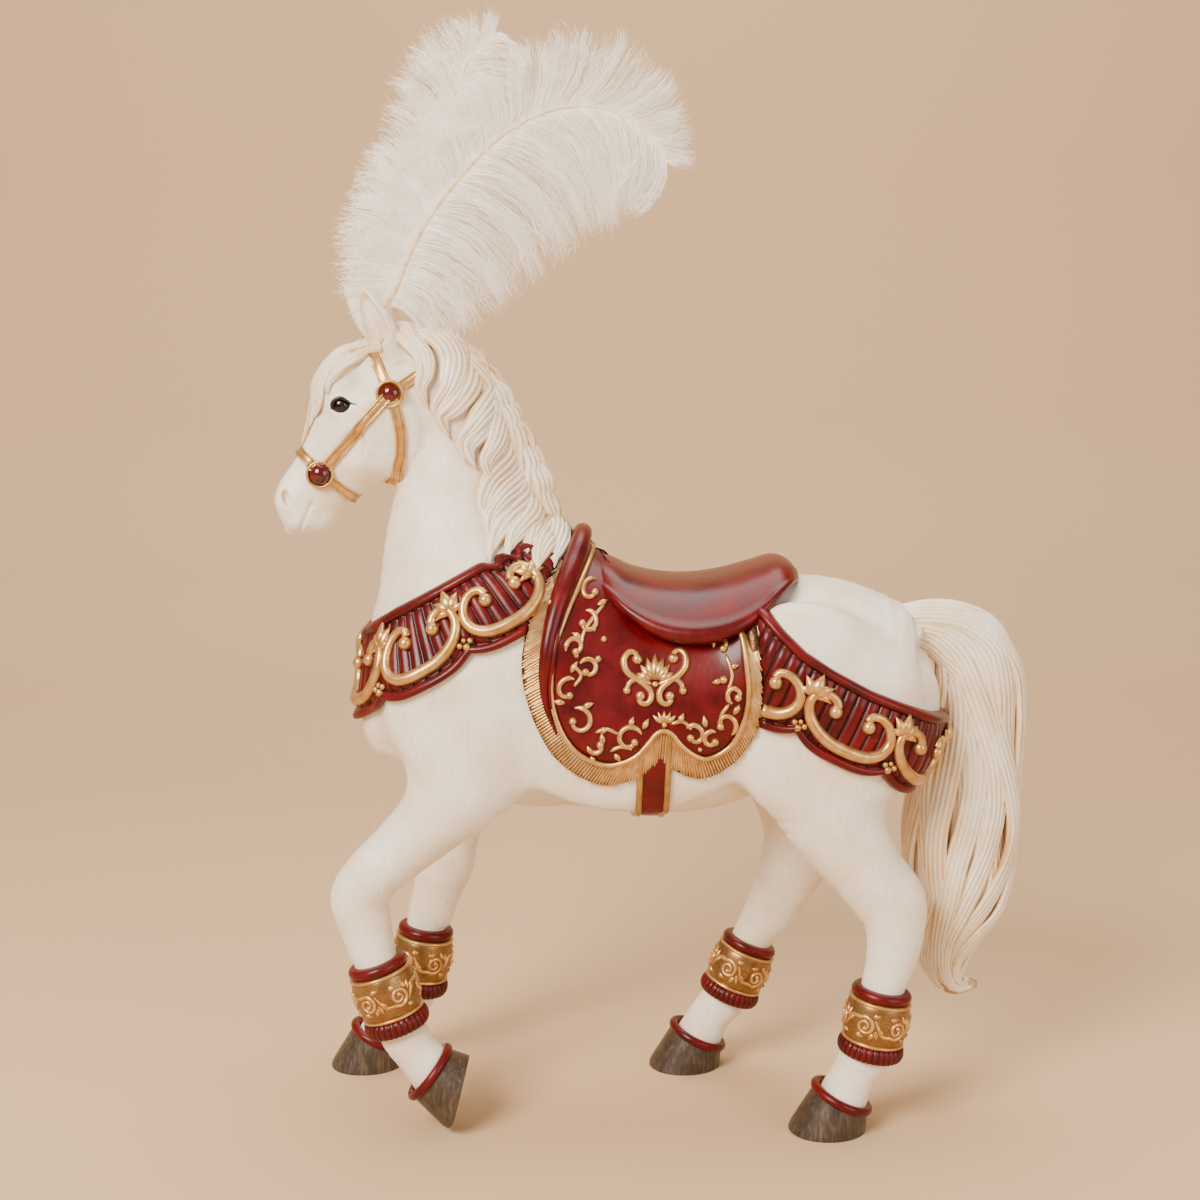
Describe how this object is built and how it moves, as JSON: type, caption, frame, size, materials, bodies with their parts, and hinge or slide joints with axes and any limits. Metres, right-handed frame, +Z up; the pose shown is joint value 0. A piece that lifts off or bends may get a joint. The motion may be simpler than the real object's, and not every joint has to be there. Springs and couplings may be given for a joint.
{
  "type": "decorative horse figure",
  "caption": "Hand-painted resin figure of a walking parade horse in red and gold tack, with cabochon rosettes on its bridle and ostrich plumes at its poll.",
  "frame": {"origin": "middle of the figure's bounding box on the ground that its hooves stand on", "axes": "+Z up, -X the way the horse faces, -Y its left side"},
  "size_m": [0.3733, 0.1154, 0.5439],
  "materials": {
    "ivory_paint": "satin",
    "red_lacquer": "gloss",
    "gold_paint": "satin",
    "hoof_paint": "satin",
    "ruby_glass": "gloss",
    "feather": "matte"
  },
  "bodies": {
    "root": {"horse": "ivory_paint", "cabochon_upper_left": "ruby_glass", "cabochon_upper_right": "ruby_glass", "cabochon_lower_left": "ruby_glass", "cabochon_lower_right": "ruby_glass", "plume_front": "feather", "plume_back": "feather"}
  },
  "joints": []
}
